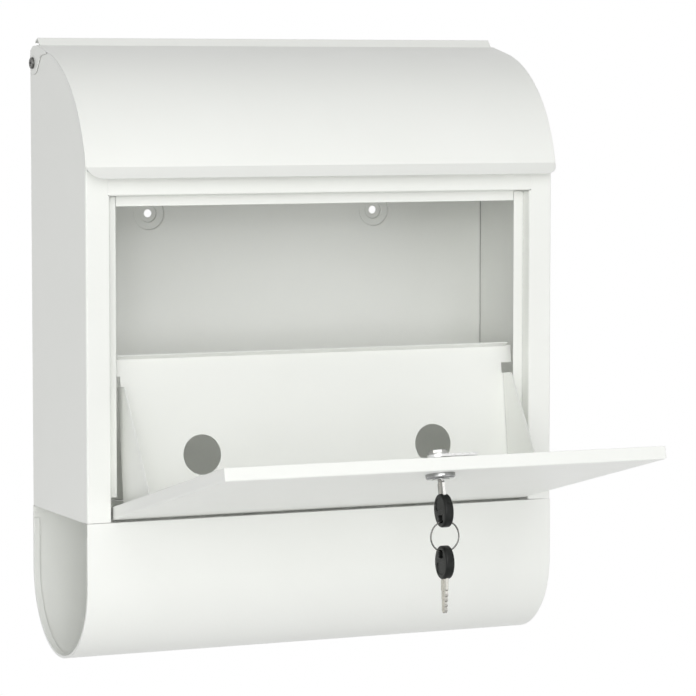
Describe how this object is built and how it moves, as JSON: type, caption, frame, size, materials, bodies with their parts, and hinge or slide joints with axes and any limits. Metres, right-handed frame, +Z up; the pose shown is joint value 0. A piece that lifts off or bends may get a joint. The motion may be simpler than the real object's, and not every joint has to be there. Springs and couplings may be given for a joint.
{
  "type": "wall letterbox with newspaper holder",
  "caption": "Wall letterbox of folded white sheet steel with a quarter-round lid, a bottom-hinged locking door with a tray, and an open newspaper trough below.",
  "frame": {"origin": "middle of the four wall screw holes, on the wall plane that the pressed bosses rest on", "axes": "+Z up, +Y into the wall, the front faces -Y, +X to the right as seen from the front"},
  "size_m": [0.3858, 0.3434, 0.4629],
  "materials": {
    "white_coat": "smooth semi-gloss powder coat",
    "zinc_steel": "zinc plated",
    "lock_chrome": "bright chrome plate",
    "key_nickel": "nickel plated",
    "black_grip": "moulded, satin"
  },
  "bodies": {
    "box": {"left_side": "white_coat", "right_side": "white_coat", "top_rail": "white_coat", "back_panel": "white_coat", "floor_plate": "white_coat", "newspaper_holder": "white_coat", "lid_screws": "zinc_steel", "lid_nuts": "zinc_steel"},
    "lid": {"lid": "white_coat"},
    "door": {"door": "white_coat", "tray": "white_coat", "hinge_pins": "zinc_steel", "lock_housing": "lock_chrome", "lock_washer": "zinc_steel", "lock_nut": "zinc_steel"},
    "plug": {"lock_plug": "lock_chrome", "lock_cam": "zinc_steel", "cam_screw": "zinc_steel"},
    "key": {"key_blade": "key_nickel", "key_grip": "black_grip"},
    "ring": {"key_ring": "key_nickel"},
    "spare_key": {"spare_key_blade": "key_nickel", "spare_key_grip": "black_grip"}
  },
  "joints": [
    {"name": "lid_hinge", "type": "hinge", "parent": "box", "child": "lid", "pos_m": [0, -0.0122, 0.2025], "axis": [-1, 0, 0], "range_deg": [0, 46]},
    {"name": "door_hinge", "type": "hinge", "parent": "box", "child": "door", "pos_m": [0, -0.1182, -0.1265], "axis": [-1, 0, 0], "range_deg": [0, 76.7]},
    {"name": "plug_turn", "type": "hinge", "parent": "door", "child": "plug", "pos_m": [0, -0.32276, -0.07814], "axis": [0, -0.23, -0.9732], "range_deg": [0, 90]},
    {"name": "key_slide", "type": "slide", "parent": "plug", "child": "key", "axis": [0, -0.23, -0.9732], "range_m": [0, 0.016]},
    {"name": "ring_swing", "type": "hinge", "parent": "key", "child": "ring", "pos_m": [0, -0.33189, -0.11678], "axis": [1, 0, 0], "range_deg": [-80, 80]},
    {"name": "spare_swing", "type": "hinge", "parent": "ring", "child": "spare_key", "pos_m": [0, -0.33189, -0.13838], "axis": [1, 0, 0], "range_deg": [-80, 80]}
  ]
}
